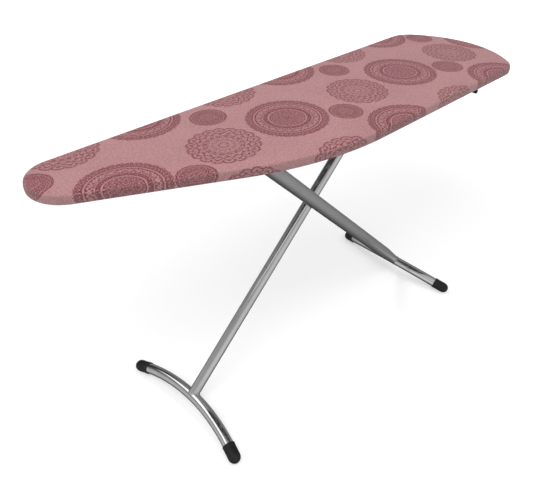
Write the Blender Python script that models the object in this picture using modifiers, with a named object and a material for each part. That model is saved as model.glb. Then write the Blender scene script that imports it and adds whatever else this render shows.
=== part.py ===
"""Ironing board with a T-foot scissor stand, modelled in Blender 4.5 (metres, +Z up).

X runs along the board, from the nose (-X) to the tail (+X). Y runs across it, and the long
straight side of the cover is on +Y. Z = 0 is the floor. The origin is the middle of the
object's bounding box, on the floor. The stand is in a working height: the wide oval leg hangs
on a fixed axle under the nose half, the slim round leg hangs on a pin that slides in two
slotted rails, and the two cross at one bolt.
"""

import math

import bmesh
import bpy
from mathutils import Matrix, Vector

# ---------------------------------------------------------------- driving dimensions, in mm
# Lengths along X are measured from the middle of the nose foot, then shifted by X_SHIFT.
X_SHIFT = 488.7           # nose foot to the middle of the bounding box
WORK_H = 752.5            # floor to the ironing surface

# outline of the cover: a polygon with a fillet at each corner
NOSE_X = -203.4           # nose end line
FAR_Y = 199.3             # straight far side
NEAR_Y = -195.8           # near side
NOSE_CORNER_Y = 70.6      # where the nose end line meets the slanted near side
TAPER_X = 318.5           # where the slanted near side meets the parallel near side
TAIL_CORNER_X = 1099.0    # both tail corners
TAIL_TIP = (1247.5, -13.7)  # the bowed tail's vertex, before its fillet
FILLETS = (88.3, 70.5, 94.0, 782.2, 59.6, 263.6)
FILLET_STEPS = (6, 7, 7, 6, 6, 8)

# the board, from the top down
COVER_T = 1.4
COVER_SKIRT = 25.0        # height of the cover's side band
HEM_W = 20.0              # the hem turned in below the rim
PAD_TOP, PAD_BOTTOM = WORK_H - 1.7, WORK_H - 8.2
PLATE_T = 0.8
PLATE_TOP = WORK_H - 8.5
RIM_TOP = PLATE_TOP - PLATE_T - 0.3
RIM_BOTTOM = WORK_H - 22.6
RIM_T = 1.2
RIM_IN = 2.4              # rim's outer face, in from the cover's
RIM_FLANGE = 12.0
BAR_X = (60.0, 232.0, 590.0, 944.0, 1090.0)   # crossbars under the plate
BAR_W, BAR_T = 24.0, 1.2
BAR_BOTTOM, BAR_TOP = WORK_H - 21.1, WORK_H - 9.6

# rails that carry the axle and the sliding pin
RAIL_X0, RAIL_X1 = 205.0, 962.0
RAIL_T = 2.0
RAIL_IN_NEAR, RAIL_IN_FAR = -45.8, 30.5   # inner faces
RAIL_TOP, RAIL_LOW = WORK_H - 21.4, WORK_H - 56.0
RAIL_FLANGE = 15.0
NOTCHES = 6
NOTCH_DEPTH, NOTCH_HALF_W = 5.0, 5.6

# stand
PIVOT_Z = WORK_H - 44.0           # height of the axle and of the sliding pin
AXLE_X = 250.7            # wide leg's axle
PIN_X = 709.1             # slim leg's pin
WIDE_ANGLE = math.radians(45.22)   # legs above the floor
SLIM_ANGLE = math.radians(44.34)
WIDE_Y, SLIM_Y = -26.3, -1.4       # leg centre lines
WIDE_H, WIDE_W = 38.4, 17.0        # oval tube: in the leg's plane, and along Y
SLIM_D = 29.7
TUBE_WALL = 1.5
FOOT_D = 30.0
FOOT_SPAN = 196.0         # half the distance between the points where the foot's centre line is at CAP_CENTRE_Z
FOOT_RISE = 35.7          # how far the foot's arch rises toward the leg between them
CAP_CENTRE_Z = 17.5       # height of the foot's centre line inside the caps
AXLE_D, PIN_D, BOLT_D = 10.0, 8.0, 8.0
CAP_MOUTH = 181.0         # along the foot's centre line, from its middle to a cap's mouth
CAP_R, CAP_LENGTH, CAP_DEPTH = 16.7, 51.5, 21.0
CAP_FIT = 0.55            # sleeve's clearance round the bent tube
FOLD_ANGLE_LEFT = 3.0     # degrees left between the wide leg and the board when folded
RAISED_ANGLE = 62.4       # degrees of the wide leg at the highest setting

# height lever
ROD_D = 6.0
ROD_Y, ROD_Z = -66.8, WORK_H - 50.4
GAP = 0.3

MM = 0.001
COLLECTION = "ironing_board"


# ---------------------------------------------------------------- scene and helpers
for old in list(bpy.data.objects):
    bpy.data.objects.remove(old, do_unlink=True)
parts = bpy.data.collections.new(COLLECTION)
cutters = bpy.data.collections.new("cutters")
for c in (parts, cutters):
    bpy.context.scene.collection.children.link(c)


def at(x, y, z):
    """A point given in mm from the middle of the nose foot, in metres in the part's frame."""
    return Vector(((x - X_SHIFT) * MM, y * MM, z * MM))


def material(name, colour, roughness, metallic):
    m = bpy.data.materials.new(name)
    m.use_nodes = True
    b = m.node_tree.nodes["Principled BSDF"]
    b.inputs["Base Color"].default_value = (*colour, 1.0)
    b.inputs["Roughness"].default_value = roughness
    b.inputs["Metallic"].default_value = metallic
    return m


MATS = {
    "cover_fabric": material("cover_fabric", (0.50, 0.24, 0.25), 0.9, 0.0),
    "felt": material("felt", (0.72, 0.70, 0.66), 1.0, 0.0),
    "cord": material("cord", (0.75, 0.73, 0.70), 0.8, 0.0),
    "plate_paint": material("plate_paint", (0.62, 0.63, 0.64), 0.45, 0.6),
    "zinc": material("zinc", (0.66, 0.66, 0.67), 0.35, 1.0),
    "chrome": material("chrome", (0.78, 0.78, 0.79), 0.12, 1.0),
    "satin_steel": material("satin_steel", (0.22, 0.22, 0.23), 0.32, 0.9),
    "black_plastic": material("black_plastic", (0.012, 0.012, 0.013), 0.55, 0.0),
    "spring_steel": material("spring_steel", (0.45, 0.45, 0.46), 0.3, 1.0),
}


def link(obj, where=parts):
    for c in list(obj.users_collection):
        c.objects.unlink(obj)
    where.objects.link(obj)
    return obj


def mesh_object(name, bm, mat=None, where=parts, smooth=None):
    """An object from a bmesh. smooth is the angle, in degrees, above which an edge stays sharp."""
    bm.normal_update()
    bmesh.ops.recalc_face_normals(bm, faces=bm.faces)
    me = bpy.data.meshes.new(name)
    bm.to_mesh(me)
    bm.free()
    if smooth is not None:
        me.shade_smooth()
        me.set_sharp_from_angle(angle=math.radians(smooth))
    o = bpy.data.objects.new(name, me)
    where.objects.link(o)
    if mat:
        me.materials.append(MATS[mat])
    return o


def as_cutter(obj):
    obj.hide_render = True
    obj.display_type = "WIRE"
    return link(obj, cutters)


def mesh_from_curve(curve_obj, name, mat=None, where=parts, smooth=None):
    """The curve as a closed mesh: its loose caps are welded, and the curve is removed."""
    bpy.context.view_layer.update()
    graph = bpy.context.evaluated_depsgraph_get()
    me = bpy.data.meshes.new_from_object(curve_obj.evaluated_get(graph))
    bm = bmesh.new()
    bm.from_mesh(me)
    bmesh.ops.remove_doubles(bm, verts=bm.verts, dist=0.000005)
    matrix = curve_obj.matrix_world.copy()
    bpy.data.objects.remove(curve_obj, do_unlink=True)
    bpy.data.meshes.remove(me)
    o = mesh_object(name, bm, mat, where, smooth)
    o.matrix_world = matrix
    return o


def flat_piece(name, loops, thickness, matrix, mat=None, where=parts, smooth=None):
    """A sheet of the given thickness (mm) from closed outlines (mm) in the matrix's own XY plane.
    Outlines inside the first are holes."""
    cu = bpy.data.curves.new(name, "CURVE")
    cu.dimensions = "2D"
    cu.fill_mode = "BOTH"
    cu.extrude = thickness / 2 * MM
    for loop in loops:
        s = cu.splines.new("POLY")
        s.points.add(len(loop) - 1)
        for p, (x, y) in zip(s.points, loop):
            p.co = (x * MM, y * MM, 0, 1)
        s.use_cyclic_u = True
    o = bpy.data.objects.new(name + "_curve", cu)
    parts.objects.link(o)
    o.matrix_world = matrix
    return mesh_from_curve(o, name, mat, where, smooth)


def wire(name, points, diameter, resolution, mat=None, cyclic=False, where=parts):
    """A round wire or rod along points given in metres."""
    cu = bpy.data.curves.new(name, "CURVE")
    cu.dimensions = "3D"
    cu.bevel_depth = diameter / 2 * MM
    cu.bevel_resolution = resolution
    cu.use_fill_caps = not cyclic
    s = cu.splines.new("POLY")
    s.points.add(len(points) - 1)
    for p, v in zip(s.points, points):
        p.co = (*v, 1)
    s.use_cyclic_u = cyclic
    s.use_smooth = True
    o = bpy.data.objects.new(name, cu)
    where.objects.link(o)
    if mat:
        cu.materials.append(MATS[mat])
    return o


def rod(name, a, b, diameter, segments=16, mat=None, where=parts, oval=1.0, end_diameter=None):
    """A straight cylinder from a to b (metres). oval squeezes it along Y."""
    bm = bmesh.new()
    axis = b - a
    bmesh.ops.create_cone(
        bm, cap_ends=True, segments=segments, radius1=diameter / 2 * MM,
        radius2=(end_diameter or diameter) / 2 * MM, depth=axis.length,
    )
    turn = axis.to_track_quat("Z", "Y").to_matrix().to_4x4()
    bm.transform(Matrix.Translation((a + b) / 2) @ turn)
    if oval != 1.0:
        middle = (a + b) / 2
        bm.transform(Matrix.Translation(middle) @ Matrix.Diagonal((1, oval, 1, 1)) @ Matrix.Translation(-middle))
    return mesh_object(name, bm, mat, where, smooth=40)


def box(name, low, high, mat=None, where=parts):
    bm = bmesh.new()
    bmesh.ops.create_cube(bm, size=1.0)
    size = high - low
    bm.transform(Matrix.Translation((low + high) / 2) @ Matrix.Diagonal((*size, 1)))
    return mesh_object(name, bm, mat, where)


def boolean(obj, tool, operation="DIFFERENCE"):
    m = obj.modifiers.new("bool_" + tool.name, "BOOLEAN")
    m.operation = operation
    m.solver = "EXACT"
    m.object = tool
    return m


def turned(name, profile, origin, axis, mat, segments, smooth=35):
    """A solid of revolution. profile is a closed run of (radius, height) in mm, which starts and
    ends on the axis or is a closed ring off it. axis is the direction of +height."""
    bm = bmesh.new()
    verts = [bm.verts.new((r * MM, 0, h * MM)) for r, h in profile]
    on_axis = profile[0][0] == 0 and profile[-1][0] == 0
    for i in range(len(verts) - 1):
        bm.edges.new((verts[i], verts[i + 1]))
    if not on_axis:
        bm.edges.new((verts[-1], verts[0]))
    me = bpy.data.meshes.new(name)
    bm.to_mesh(me)
    bm.free()
    o = bpy.data.objects.new(name, me)
    parts.objects.link(o)
    m = o.modifiers.new("turn", "SCREW")
    m.axis = "Z"
    m.steps = m.render_steps = segments
    m.use_merge_vertices = True
    m.merge_threshold = 0.000005
    m.use_normal_calculate = True
    m.use_smooth_shade = True
    me.materials.append(MATS[mat])
    turn = axis.to_track_quat("Z", "Y").to_matrix().to_4x4()
    o.matrix_world = Matrix.Translation(origin) @ turn
    # the turned mesh is made real, so that it can be cut and its sharp edges marked
    bpy.context.view_layer.update()
    graph = bpy.context.evaluated_depsgraph_get()
    real = bpy.data.meshes.new_from_object(o.evaluated_get(graph))
    o.modifiers.clear()
    bm = bmesh.new()
    bm.from_mesh(real)
    bmesh.ops.remove_doubles(bm, verts=bm.verts, dist=0.000005)
    bmesh.ops.recalc_face_normals(bm, faces=bm.faces)
    bm.to_mesh(real)
    bm.free()
    real.shade_smooth()
    real.set_sharp_from_angle(angle=math.radians(smooth))
    real.name = name
    o.data = real
    return o


# ---------------------------------------------------------------- outline of the board
def outline():
    """[(centre, direction, radius)] around the filleted polygon, anticlockwise from above."""
    corners = [
        Vector((TAIL_CORNER_X, FAR_Y)), Vector((NOSE_X, FAR_Y)), Vector((NOSE_X, NOSE_CORNER_Y)),
        Vector((TAPER_X, NEAR_Y)), Vector((TAIL_CORNER_X, NEAR_Y)), Vector(TAIL_TIP),
    ]
    found = []
    for i, p in enumerate(corners):
        before, after = corners[i - 1], corners[(i + 1) % len(corners)]
        a, b = (before - p).normalized(), (after - p).normalized()
        half = a.angle(b) / 2
        radius, steps = FILLETS[i], FILLET_STEPS[i]
        centre = p + (a + b).normalized() * radius / math.sin(half)
        start = p + a * radius / math.tan(half) - centre
        end = p + b * radius / math.tan(half) - centre
        t0 = math.atan2(start.y, start.x)
        sweep = (math.atan2(end.y, end.x) - t0 + math.pi) % (2 * math.pi) - math.pi
        for k in range(steps):
            t = t0 + sweep * k / (steps - 1)
            found.append((centre, Vector((math.cos(t), math.sin(t))), radius))
    return found


OUTLINE = outline()


def inset(distance):
    """The outline moved inwards, as (x, y) in mm from the nose foot."""
    return [c + d * (r - distance) for c, d, r in OUTLINE]


def ring(bm, distance, z):
    return [bm.verts.new(at(p.x, p.y, z)) for p in inset(distance)]


def bridge(bm, a, b):
    n = len(a)
    for i in range(n):
        j = (i + 1) % n
        bm.faces.new((a[i], a[j], b[j], b[i]))


def side_y(x, distance, near):
    """Where a line at x meets the outline moved inwards."""
    pts = inset(distance)
    ys = []
    for i in range(len(pts)):
        p, q = pts[i], pts[(i + 1) % len(pts)]
        if (p.x - x) * (q.x - x) <= 0 and p.x != q.x:
            ys.append(p.y + (q.y - p.y) * (x - p.x) / (q.x - p.x))
    return min(ys) if near else max(ys)


# ---------------------------------------------------------------- cover, pad, plate, rim
# cover: one skin over the top, down the rim and in below it, open underneath
bm = bmesh.new()
skin = [(11.0, 0.0), (4.6, -1.3), (1.2, -4.6), (0.0, -9.0), (0.0, -19.5), (0.4, -23.8),
        (1.8, -COVER_SKIRT), (HEM_W, -COVER_SKIRT)]
rings = [ring(bm, d, WORK_H + z) for d, z in skin]
for a, b in zip(rings, rings[1:]):
    bridge(bm, a, b)
bm.faces.new(rings[0])
cover = mesh_object("cover", bm, "cover_fabric", smooth=50)
shell = cover.modifiers.new("fabric", "SOLIDIFY")
shell.thickness = COVER_T * MM
shell.offset = -1
shell.use_even_offset = False

# pad
bm = bmesh.new()
rings = [ring(bm, d, z) for d, z in (
    (2.2, PAD_BOTTOM), (2.4, WORK_H - 7.0), (4.2, WORK_H - 4.2), (7.0, WORK_H - 2.7), (12.0, PAD_TOP))]
for a, b in zip(rings, rings[1:]):
    bridge(bm, a, b)
bm.faces.new(rings[0])
bm.faces.new(rings[-1])
mesh_object("pad", bm, "felt", smooth=50)

# steel plate with vent holes
HOLE_R, PITCH_X, PITCH_Y = 11.0, 78.0, 68.0
holes = []
edge = inset(40.0)


def inside(x, y, loop):
    for i in range(len(loop)):
        p, q = loop[i], loop[(i + 1) % len(loop)]
        if (q.x - p.x) * (y - p.y) - (q.y - p.y) * (x - p.x) < 0:
            return False
    return True


for column in range(18):
    for row in range(-3, 4):
        x = -140.0 + PITCH_X * column
        y = PITCH_Y * row + (PITCH_Y / 2 if column % 2 else 0.0)
        if inside(x, y, edge) and all(abs(x - b) > BAR_W / 2 + HOLE_R for b in BAR_X):
            holes.append([(x - X_SHIFT + HOLE_R * math.cos(math.radians(60 * k)),
                           y + HOLE_R * math.sin(math.radians(60 * k))) for k in range(6)])
plate_edge = [(p.x - X_SHIFT, p.y) for p in inset(2.2)]
flat_piece("board_plate", [plate_edge] + holes, PLATE_T,
           Matrix.Translation((0, 0, (PLATE_TOP - PLATE_T / 2) * MM)), "plate_paint")

# rim: an angle section all round, upright web outside and flange turned in
bm = bmesh.new()
section = [(RIM_IN, RIM_TOP), (RIM_IN, RIM_BOTTOM), (RIM_IN + RIM_FLANGE, RIM_BOTTOM),
           (RIM_IN + RIM_FLANGE, RIM_BOTTOM + RIM_T), (RIM_IN + RIM_T, RIM_BOTTOM + RIM_T), (RIM_IN + RIM_T, RIM_TOP)]
rings = [ring(bm, d, z) for d, z in section]
for i in range(len(rings)):
    bridge(bm, rings[i], rings[(i + 1) % len(rings)])
mesh_object("rim_frame", bm, "plate_paint", smooth=40)

# elastic drawcord on the hem's inner edge
cord = [at(p.x, p.y, WORK_H - COVER_SKIRT + COVER_T + GAP + 1.0) for p in inset(17.0)]
wire("cover_drawcord", cord, 2.0, 1, "cord", cyclic=True)

# crossbars: channels open below, welded to the plate and standing on the rim's flange
for number, x in enumerate(BAR_X, 1):
    w, t = BAR_W / 2, BAR_T
    profile = [(-w, BAR_BOTTOM), (-w, BAR_TOP), (w, BAR_TOP), (w, BAR_BOTTOM),
               (w - t, BAR_BOTTOM), (w - t, BAR_TOP - t), (-w + t, BAR_TOP - t), (-w + t, BAR_BOTTOM)]
    ends = []
    for near in (True, False):
        at_edges = [side_y(x + s, RIM_IN + RIM_T + 1.2, near) for s in (-w, w)]
        ends.append(max(at_edges) if near else min(at_edges))
    length = ends[1] - ends[0]
    turn = Matrix(((1, 0, 0), (0, 0, -1), (0, 1, 0))).to_4x4()   # profile's XY to XZ
    flat_piece(f"crossbar_{number}", [profile], length,
               Matrix.Translation(at(x, sum(ends) / 2, 0)) @ turn, "plate_paint")

# ---------------------------------------------------------------- scissor geometry
AXLE = at(AXLE_X, 0, PIVOT_Z)
PIN = at(PIN_X, 0, PIVOT_Z)
cot_w, cot_s = 1 / math.tan(WIDE_ANGLE), 1 / math.tan(SLIM_ANGLE)
drop = (PIN_X - AXLE_X) / (cot_w + cot_s)
CROSS_X, CROSS_Z = AXLE_X + drop * cot_w, PIVOT_Z - drop
R_WIDE, R_SLIM = drop / math.sin(WIDE_ANGLE), drop / math.sin(SLIM_ANGLE)
CROSS = at(CROSS_X, 0, CROSS_Z)
WIDE_DIR = Vector((math.cos(WIDE_ANGLE), 0, -math.sin(WIDE_ANGLE)))
SLIM_DIR = Vector((-math.cos(SLIM_ANGLE), 0, -math.sin(SLIM_ANGLE)))


def pin_x(wide_angle_deg):
    """Where the sliding pin stands when the wide leg is at this angle."""
    a = math.radians(wide_angle_deg)
    s = SLIM_ANGLE - (WIDE_ANGLE - a) * (SLIM_ANGLE - math.asin(
        R_WIDE * math.sin(math.radians(FOLD_ANGLE_LEFT)) / R_SLIM)) / (WIDE_ANGLE - math.radians(FOLD_ANGLE_LEFT))
    return AXLE_X + R_WIDE * math.cos(a) + R_SLIM * math.cos(s)


SLOT_X0, SLOT_X1 = pin_x(RAISED_ANGLE) - PIN_D / 2 - 1.5, pin_x(FOLD_ANGLE_LEFT) + PIN_D / 2 + 1.5
SLOT_LOW, SLOT_HIGH = PIVOT_Z - PIN_D / 2 - 1.6, PIVOT_Z + PIN_D / 2 + 2.0

# the axis of each joint
joints = {}
for name, place in (("axis_leg_fold", AXLE), ("axis_leg_crossing", CROSS),
                    ("axis_release_lever", at(0.5 * (RAIL_X0 + RAIL_X1), ROD_Y, ROD_Z))):
    e = bpy.data.objects.new(name, None)
    e.empty_display_size = 0.03
    e.location = place
    parts.objects.link(e)
    joints[name] = e
bpy.context.view_layer.update()
joints["axis_leg_crossing"].parent = joints["axis_leg_fold"]
joints["axis_leg_crossing"].matrix_parent_inverse = joints["axis_leg_fold"].matrix_world.inverted()


# ---------------------------------------------------------------- rails
def slot_loop():
    """The slot, with notches along its upper edge for the height settings."""
    loop = [(SLOT_X0, SLOT_LOW), (SLOT_X1, SLOT_LOW), (SLOT_X1, SLOT_HIGH)]
    first, last = pin_x(RAISED_ANGLE), PIN_X + 74.0
    step = (last - first) / (NOTCHES - 1)
    for k in range(NOTCHES - 1, -1, -1):
        x = first + step * k + (1.6 if k == 0 else 0.0)
        for dx, dz in ((NOTCH_HALF_W, 0), (NOTCH_HALF_W - 1.4, NOTCH_DEPTH - 1.2), (NOTCH_HALF_W - 3.4, NOTCH_DEPTH),
                       (-NOTCH_HALF_W + 3.4, NOTCH_DEPTH), (-NOTCH_HALF_W + 1.4, NOTCH_DEPTH - 1.2), (-NOTCH_HALF_W, 0)):
            if x + dx > SLOT_X0 + 0.5:
                loop.append((x + dx, SLOT_HIGH + dz))
    loop.append((SLOT_X0, SLOT_HIGH + 0.0))
    return loop


XZ = Matrix(((1, 0, 0), (0, 0, -1), (0, 1, 0))).to_4x4()


def shifted(loop):
    return [(x - X_SHIFT, z) for x, z in loop]


axle_hole = [(AXLE_X + (AXLE_D / 2 + GAP + 0.1) * math.cos(math.radians(8 + 30 * k)),
              PIVOT_Z + (AXLE_D / 2 + GAP + 0.1) * math.sin(math.radians(8 + 30 * k))) for k in range(12)]
ends = [[(x, PIVOT_Z + 2), (x - s * 14.2, RAIL_LOW - 0.2), (x - s * 14.2, RAIL_LOW - 9), (x + s * 9, RAIL_LOW - 9),
         (x + s * 9, PIVOT_Z + 2)] for x, s in ((RAIL_X0, -1), (RAIL_X1, 1))]
YZ = Matrix(((0, 0, 1), (-1, 0, 0), (0, 1, 0))).to_4x4()   # a profile's X to -Y, and its Y to Z
for side, inner, out in (("near", RAIL_IN_NEAR, -1), ("far", RAIL_IN_FAR, 1)):
    # an angle section: upright web, and a flange turned outwards along its top
    angle = [(-inner, RAIL_LOW), (-inner, RAIL_TOP), (-inner - out * RAIL_FLANGE, RAIL_TOP),
             (-inner - out * RAIL_FLANGE, RAIL_TOP - RAIL_T), (-inner - out * RAIL_T, RAIL_TOP - RAIL_T),
             (-inner - out * RAIL_T, RAIL_LOW)]
    rail = flat_piece(f"rail_{side}", [angle], RAIL_X1 - RAIL_X0,
                      Matrix.Translation(at((RAIL_X0 + RAIL_X1) / 2, 0, 0)) @ YZ, "zinc")
    web = Matrix.Translation((0, (inner + out * RAIL_T / 2) * MM, 0)) @ XZ
    for k, loop in enumerate([axle_hole, slot_loop()] + ends):
        boolean(rail, as_cutter(flat_piece(f"rail_{side}_cut_{k}", [shifted(loop)], RAIL_T + 6.0, web)))

# ---------------------------------------------------------------- axle, pin and their spacers
BORE = 2 * (GAP + 0.05)


def along_y(x, z, y):
    return at(x, y, z)


turned("leg_axle", [(0, 0), (8.0, 0), (8.0, 2.4), (AXLE_D / 2, 2.6), (AXLE_D / 2, 84.6), (AXLE_D / 2 - 0.8, 85.4), (0, 85.4)],
       along_y(AXLE_X, PIVOT_Z, RAIL_IN_FAR + RAIL_T + GAP + 2.6), Vector((0, -1, 0)), "zinc", 16)
turned("axle_cap", [(AXLE_D / 2 + GAP, 0), (8.0, 0), (8.0, 2.2), (6.6, 4.0), (AXLE_D / 2 + GAP, 4.0)],
       along_y(AXLE_X, PIVOT_Z, RAIL_IN_NEAR - RAIL_T - GAP), Vector((0, -1, 0)), "zinc", 16)


def spacer(name, x, y0, y1, bore_d, outer_d, mat="black_plastic"):
    length = y1 - y0 - 2 * GAP
    r0, r1 = bore_d / 2 + GAP + 0.1, outer_d / 2
    turned(name, [(r0, 0), (r1, 0), (r1, length), (r0, length)],
           along_y(x, PIVOT_Z, y0 + GAP), Vector((0, 1, 0)), mat, 16)


spacer("axle_spacer_near", AXLE_X, RAIL_IN_NEAR, WIDE_Y - WIDE_W / 2, AXLE_D, 15.0)
spacer("axle_spacer_far", AXLE_X, WIDE_Y + WIDE_W / 2, RAIL_IN_FAR, AXLE_D, 15.0)
PIN_NEAR_Y = -63.3
PIN_FAR_Y = RAIL_IN_FAR + RAIL_T + 5.4
turned("slide_pin", [(0, 0), (PIN_D / 2 - 0.7, 0), (PIN_D / 2, 0.8), (PIN_D / 2, PIN_FAR_Y - PIN_NEAR_Y),
                     (0, PIN_FAR_Y - PIN_NEAR_Y)],
       along_y(PIN_X, PIVOT_Z, PIN_NEAR_Y), Vector((0, 1, 0)), "zinc", 16)
turned("pin_cap", [(PIN_D / 2 + GAP, 0), (6.6, 0), (6.6, 2.0), (5.6, 3.4), (PIN_D / 2 + GAP, 3.4)],
       along_y(PIN_X, PIVOT_Z, RAIL_IN_FAR + RAIL_T + GAP), Vector((0, 1, 0)), "zinc", 16)
spacer("pin_spacer_near", PIN_X, RAIL_IN_NEAR, SLIM_Y - SLIM_D / 2, PIN_D, 13.0)
spacer("pin_spacer_far", PIN_X, SLIM_Y + SLIM_D / 2, RAIL_IN_FAR, PIN_D, 13.0)


# ---------------------------------------------------------------- feet
FOOT_R = (FOOT_SPAN ** 2 + FOOT_RISE ** 2) / (2 * FOOT_RISE)


def foot_point(top, direction, length):
    """A point of a foot's centre line, an arc in its leg's plane, and the arc's tangent there.
    direction points down the leg. length is measured along the arc from its middle, + towards +Y."""
    down_to_caps = (top.z - CAP_CENTRE_Z * MM) / -direction.z
    a = length / FOOT_R
    along = down_to_caps - (FOOT_RISE - FOOT_R * (1 - math.cos(a))) * MM
    point = top + direction * along + Vector((0, FOOT_R * math.sin(a) * MM, 0))
    return point, Vector((0, math.cos(a), 0)) + direction * math.sin(a)


def foot_curve(top, direction, half_length, steps):
    return [foot_point(top, direction, half_length * (2 * k / (steps - 1) - 1))[0] for k in range(steps)]


def foot(name, top, direction, mat):
    """A bent tube, open at both ends, and the cutter that copes its leg."""
    end = CAP_MOUTH + CAP_DEPTH - 1.2
    outer = mesh_from_curve(wire(name + "_c", foot_curve(top, direction, end, 15), FOOT_D, 7), name, mat, smooth=35)
    inner = mesh_from_curve(wire(name + "_bore_c", foot_curve(top, direction, end + 6.0, 15), FOOT_D - 2 * TUBE_WALL, 3),
                            name + "_bore")
    boolean(outer, as_cutter(inner))
    cope = mesh_from_curve(wire(name + "_cope_c", foot_curve(top, direction, 140.0, 13), FOOT_D + 2 * GAP + 0.4, 7),
                           name + "_cope")
    return outer, as_cutter(cope)


def foot_cap(name, top, direction, side, mat="black_plastic"):
    """A domed sleeve over the end of a foot tube, flat where it meets the floor."""
    # the sleeve is straight and the tube is bent, so it lies along the tangent at its own middle
    middle, tangent = foot_point(top, direction, side * (CAP_MOUTH + CAP_DEPTH / 2))
    tangent = (tangent * side).normalized()
    dome = CAP_R + 1.2
    mouth = middle - tangent * CAP_DEPTH / 2 * MM
    straight = CAP_LENGTH - dome
    # drawn as a cup: the bore first, then the outside
    cup = [(0, CAP_DEPTH), (FOOT_D / 2 + CAP_FIT, CAP_DEPTH), (FOOT_D / 2 + CAP_FIT, 0), (CAP_R - 0.1, 0),
           (CAP_R + 0.5, 0.8), (CAP_R + 0.5, 3.4), (CAP_R, 4.2), (CAP_R, straight)]
    for k in range(1, 6):
        a = math.radians(90 * k / 6)
        cup.append((CAP_R * math.cos(a), straight + dome * math.sin(a)))
    cup.append((0, straight + dome))
    o = turned(name, cup, mouth, tangent, mat, 20)
    boolean(o, as_cutter(box(name + "_floor", Vector((-2, -1, -0.05)), Vector((2, 1, 0)))))
    return o


WIDE_TOP = Vector((AXLE.x, WIDE_Y * MM, AXLE.z))
SLIM_TOP = Vector((PIN.x, SLIM_Y * MM, PIN.z))
# each foot is centred on the board, though its leg stands beside the middle
tail_foot, tail_cope = foot("tail_foot", Vector((AXLE.x, 0, AXLE.z)), WIDE_DIR, "chrome")
nose_foot, nose_cope = foot("nose_foot", Vector((PIN.x, 0, PIN.z)), SLIM_DIR, "chrome")
caps = {
    "tail_cap_near": foot_cap("tail_cap_near", Vector((AXLE.x, 0, AXLE.z)), WIDE_DIR, -1),
    "tail_cap_far": foot_cap("tail_cap_far", Vector((AXLE.x, 0, AXLE.z)), WIDE_DIR, 1),
    "nose_cap_near": foot_cap("nose_cap_near", Vector((PIN.x, 0, PIN.z)), SLIM_DIR, -1),
    "nose_cap_far": foot_cap("nose_cap_far", Vector((PIN.x, 0, PIN.z)), SLIM_DIR, 1),
}


# ---------------------------------------------------------------- legs
def leg(name, top, direction, beyond, outer_d, oval, bore_d, bore_oval, hole_d, cope, mat):
    """A tube from just beyond its upper pivot down onto the foot, coped to fit it."""
    down = (top.z - CAP_CENTRE_Z * MM) / -direction.z - FOOT_RISE * MM
    a, b = top - direction * beyond * MM, top + direction * (down - 0.003)
    tube = rod(name, a, b, outer_d, 28, mat, oval=oval)
    bore = as_cutter(rod(name + "_bore", a - direction * 0.01, b + direction * 0.03, bore_d, 20, oval=bore_oval))
    boolean(tube, bore)
    boolean(tube, cope)
    for k, (place, d, y0, y1) in enumerate(hole_d):
        hole = as_cutter(rod(f"{name}_hole_{k}", Vector((place.x, y0 * MM, place.z)), Vector((place.x, y1 * MM, place.z)), d, 12))
        boolean(tube, hole)
    return tube


hole_axle, hole_pin, hole_bolt = AXLE_D + 0.9, PIN_D + 0.9, BOLT_D + 0.9
wide_leg = leg("wide_leg", WIDE_TOP, WIDE_DIR, 9.0, WIDE_H, WIDE_W / WIDE_H, WIDE_H - 2 * TUBE_WALL,
               (WIDE_W - 2 * TUBE_WALL) / (WIDE_H - 2 * TUBE_WALL),
               [(AXLE, hole_axle, -60, 40), (CROSS, hole_bolt, WIDE_Y, 0)], tail_cope, "satin_steel")
slim_leg = leg("slim_leg", SLIM_TOP, SLIM_DIR, 12.0, SLIM_D, 1.0, SLIM_D - 2 * TUBE_WALL, 1.0,
               [(PIN, hole_pin, -40, 40), (CROSS, hole_bolt, -40, 40)], nose_cope, "chrome")

# crossing bolt: its head is on the far side, and its nut is hidden in the oval tube
BOLT_HEAD_Y = SLIM_Y + SLIM_D / 2 + GAP
bolt_end = WIDE_Y + WIDE_W / 2 - TUBE_WALL - 8.0
turned("crossing_bolt", [(0, 0), (5.2, 0), (7.4, 1.6), (7.6, 3.4), (BOLT_D / 2, 3.4), (BOLT_D / 2, 3.4 + BOLT_HEAD_Y - bolt_end), (0, 3.4 + BOLT_HEAD_Y - bolt_end)],
       along_y(CROSS_X, CROSS_Z, BOLT_HEAD_Y + 3.4), Vector((0, -1, 0)), "zinc", 16)
turned("crossing_washer", [(BOLT_D / 2 + GAP + 0.1, 0), (10.5, 0), (10.5, 0.9), (BOLT_D / 2 + GAP + 0.1, 0.9)],
       along_y(CROSS_X, CROSS_Z, WIDE_Y + WIDE_W / 2 + 0.3), Vector((0, 1, 0)), "black_plastic", 20)
NUT_Y1 = WIDE_Y + WIDE_W / 2 - TUBE_WALL - 0.7
hexagon = [(6.5 * math.cos(math.radians(60 * k)), 6.5 * math.sin(math.radians(60 * k))) for k in range(6)]
thread = [((BOLT_D / 2 + GAP + 0.1) * math.cos(math.radians(30 * k + 15)), (BOLT_D / 2 + GAP + 0.1) * math.sin(math.radians(30 * k + 15))) for k in range(12)]
nut = flat_piece("crossing_nut", [hexagon, thread], 5.4,
                 Matrix.Translation(at(CROSS_X, NUT_Y1 - 2.7, CROSS_Z)) @ XZ, "zinc")

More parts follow.
